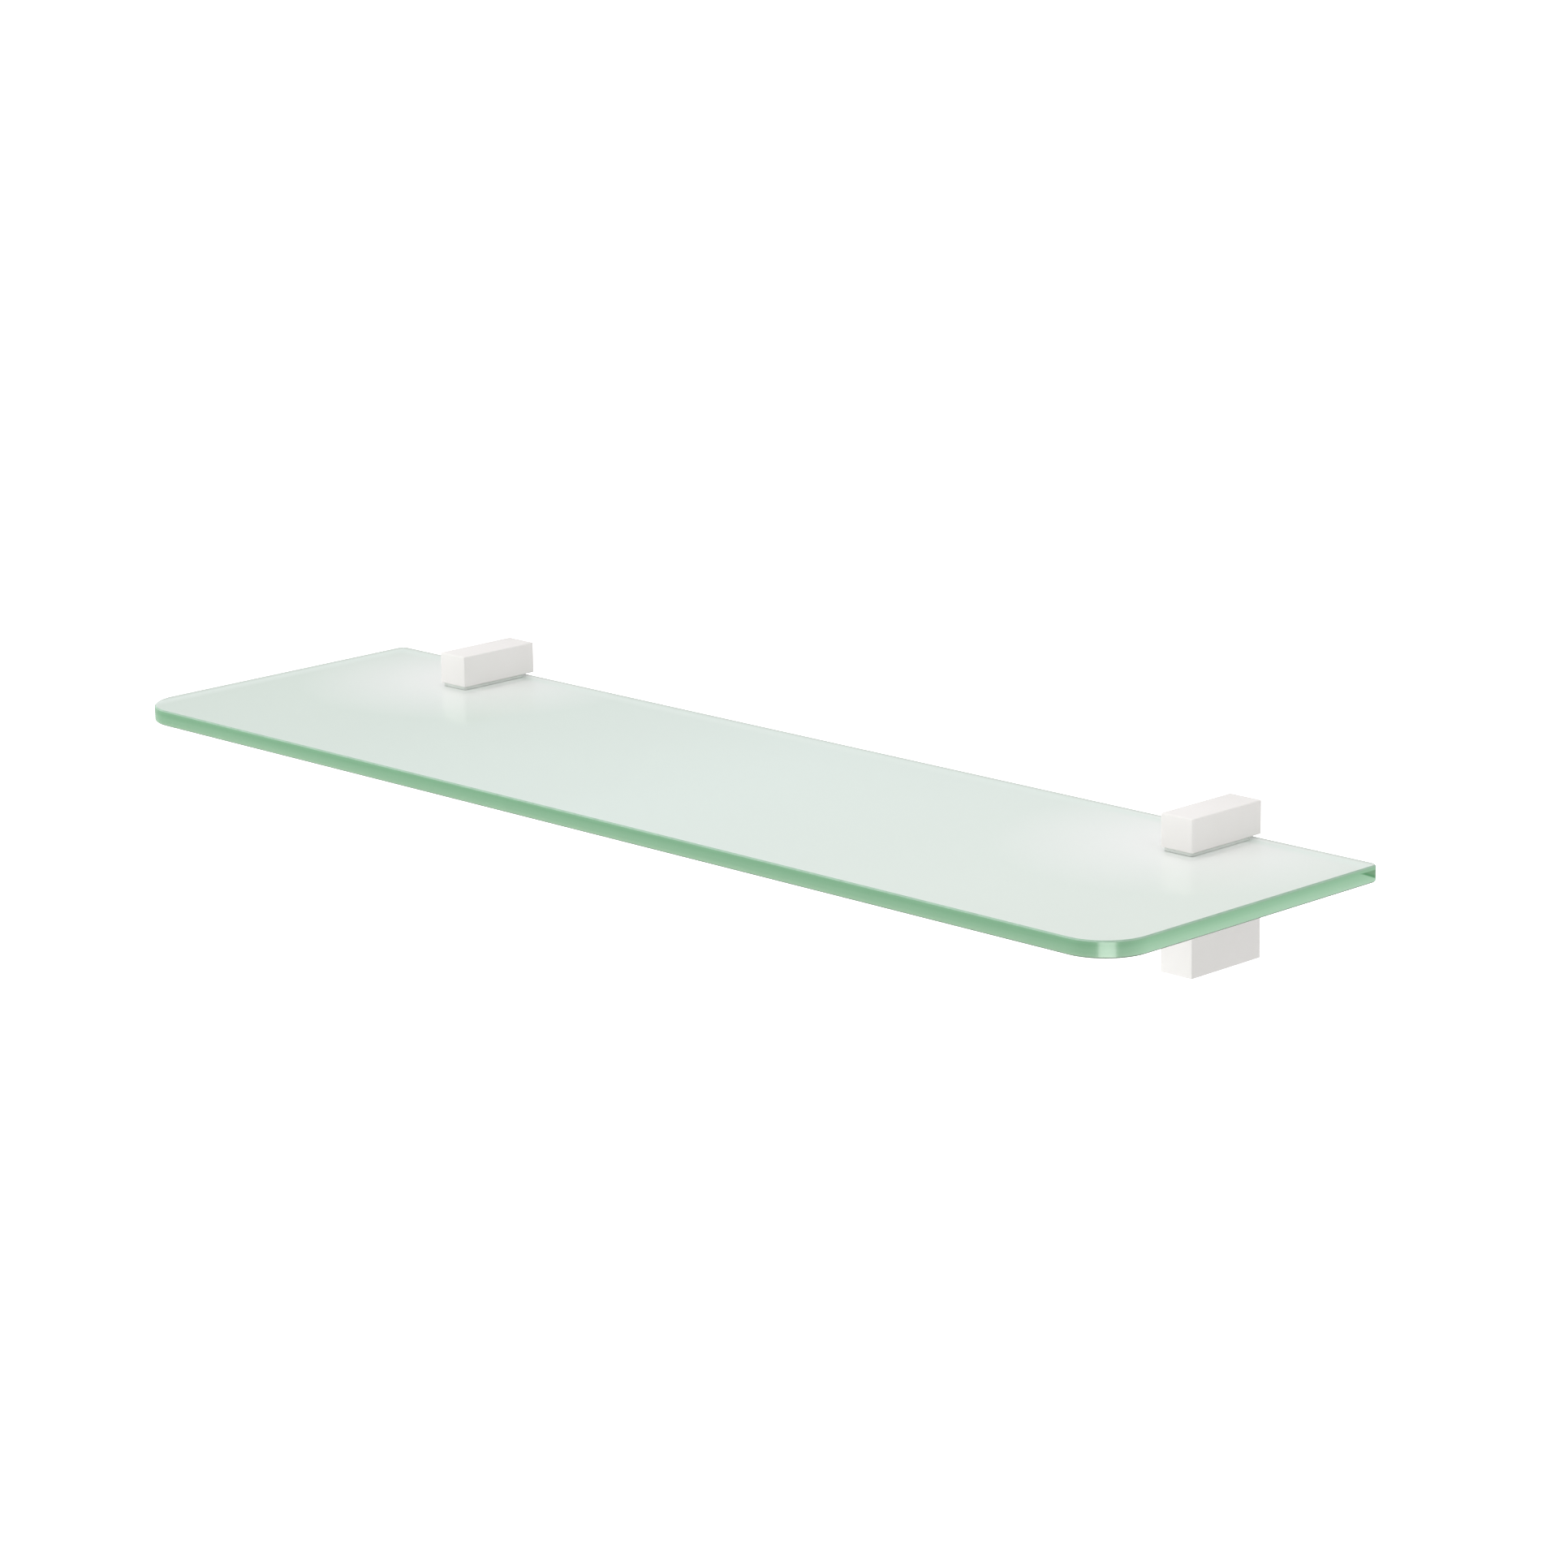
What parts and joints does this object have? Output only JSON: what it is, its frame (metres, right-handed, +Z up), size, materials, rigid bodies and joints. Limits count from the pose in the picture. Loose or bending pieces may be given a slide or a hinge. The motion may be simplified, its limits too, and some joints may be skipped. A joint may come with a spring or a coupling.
{
  "type": "glass wall shelf with clamp brackets",
  "caption": "Satin glass wall shelf with rounded front corners, clamped at its back edge by small white block brackets on hidden wall plates.",
  "frame": {"origin": "on the wall, midway between the two brackets, at the middle of the wall plates' height", "axes": "+X to the right along the wall, +Y into the wall, +Z up"},
  "size_m": [0.5, 0.135, 0.0559],
  "materials": {
    "satin_glass": "satin etched, with a polished green edge",
    "white_paint": "fine satin powder coat",
    "clear_pad": "translucent soft vinyl",
    "nylon": "natural moulded nylon",
    "brass": "machined",
    "steel": "bright zinc plated"
  },
  "bodies": {
    "wall_plates": {"left_wall_plate": "steel", "right_wall_plate": "steel"},
    "shelf": {"glass_shelf": "satin_glass", "left_lower_block": "white_paint", "left_lower_pad": "clear_pad", "left_glass_bush": "nylon", "left_clamp_washer": "steel", "right_lower_block": "white_paint", "right_lower_pad": "clear_pad", "right_glass_bush": "nylon", "right_clamp_washer": "steel"},
    "left_cap": {"left_upper_block": "white_paint", "left_thread_insert": "brass", "left_upper_pad": "clear_pad"},
    "right_cap": {"right_upper_block": "white_paint", "right_thread_insert": "brass", "right_upper_pad": "clear_pad"},
    "left_screw": {"left_clamp_screw": "steel"},
    "right_screw": {"right_clamp_screw": "steel"},
    "left_grub": {"left_grub_screw": "steel"},
    "right_grub": {"right_grub_screw": "steel"}
  },
  "joints": [
    {"name": "shelf_pull_off", "type": "slide", "parent": "wall_plates", "child": "shelf", "axis": [0, -1, 0], "range_m": [0, 0.01]},
    {"name": "left_cap_lift", "type": "slide", "parent": "shelf", "child": "left_cap", "axis": [0, 0, 1], "range_m": [0, 0.0063]},
    {"name": "left_screw_turn", "type": "hinge", "parent": "shelf", "child": "left_screw", "pos_m": [-0.185, -0.02, 0], "axis": [0, 0, -1], "range_deg": [0, 3240]},
    {"name": "right_cap_lift", "type": "slide", "parent": "shelf", "child": "right_cap", "axis": [0, 0, 1], "range_m": [0, 0.0063]},
    {"name": "right_screw_turn", "type": "hinge", "parent": "shelf", "child": "right_screw", "pos_m": [0.185, -0.02, 0], "axis": [0, 0, -1], "range_deg": [0, 3240]},
    {"name": "left_grub_turn", "type": "hinge", "parent": "shelf", "child": "left_grub", "pos_m": [-0.185, -0.00575, -0.016], "axis": [0, 0, -1], "range_deg": [0, 720]},
    {"name": "right_grub_turn", "type": "hinge", "parent": "shelf", "child": "right_grub", "pos_m": [0.185, -0.00575, -0.016], "axis": [0, 0, -1], "range_deg": [0, 720]}
  ],
  "couplings": [
    {"joint": "left_screw_turn", "follows": "left_cap_lift", "rad_per_m": 8976},
    {"joint": "right_screw_turn", "follows": "right_cap_lift", "rad_per_m": 8976}
  ]
}
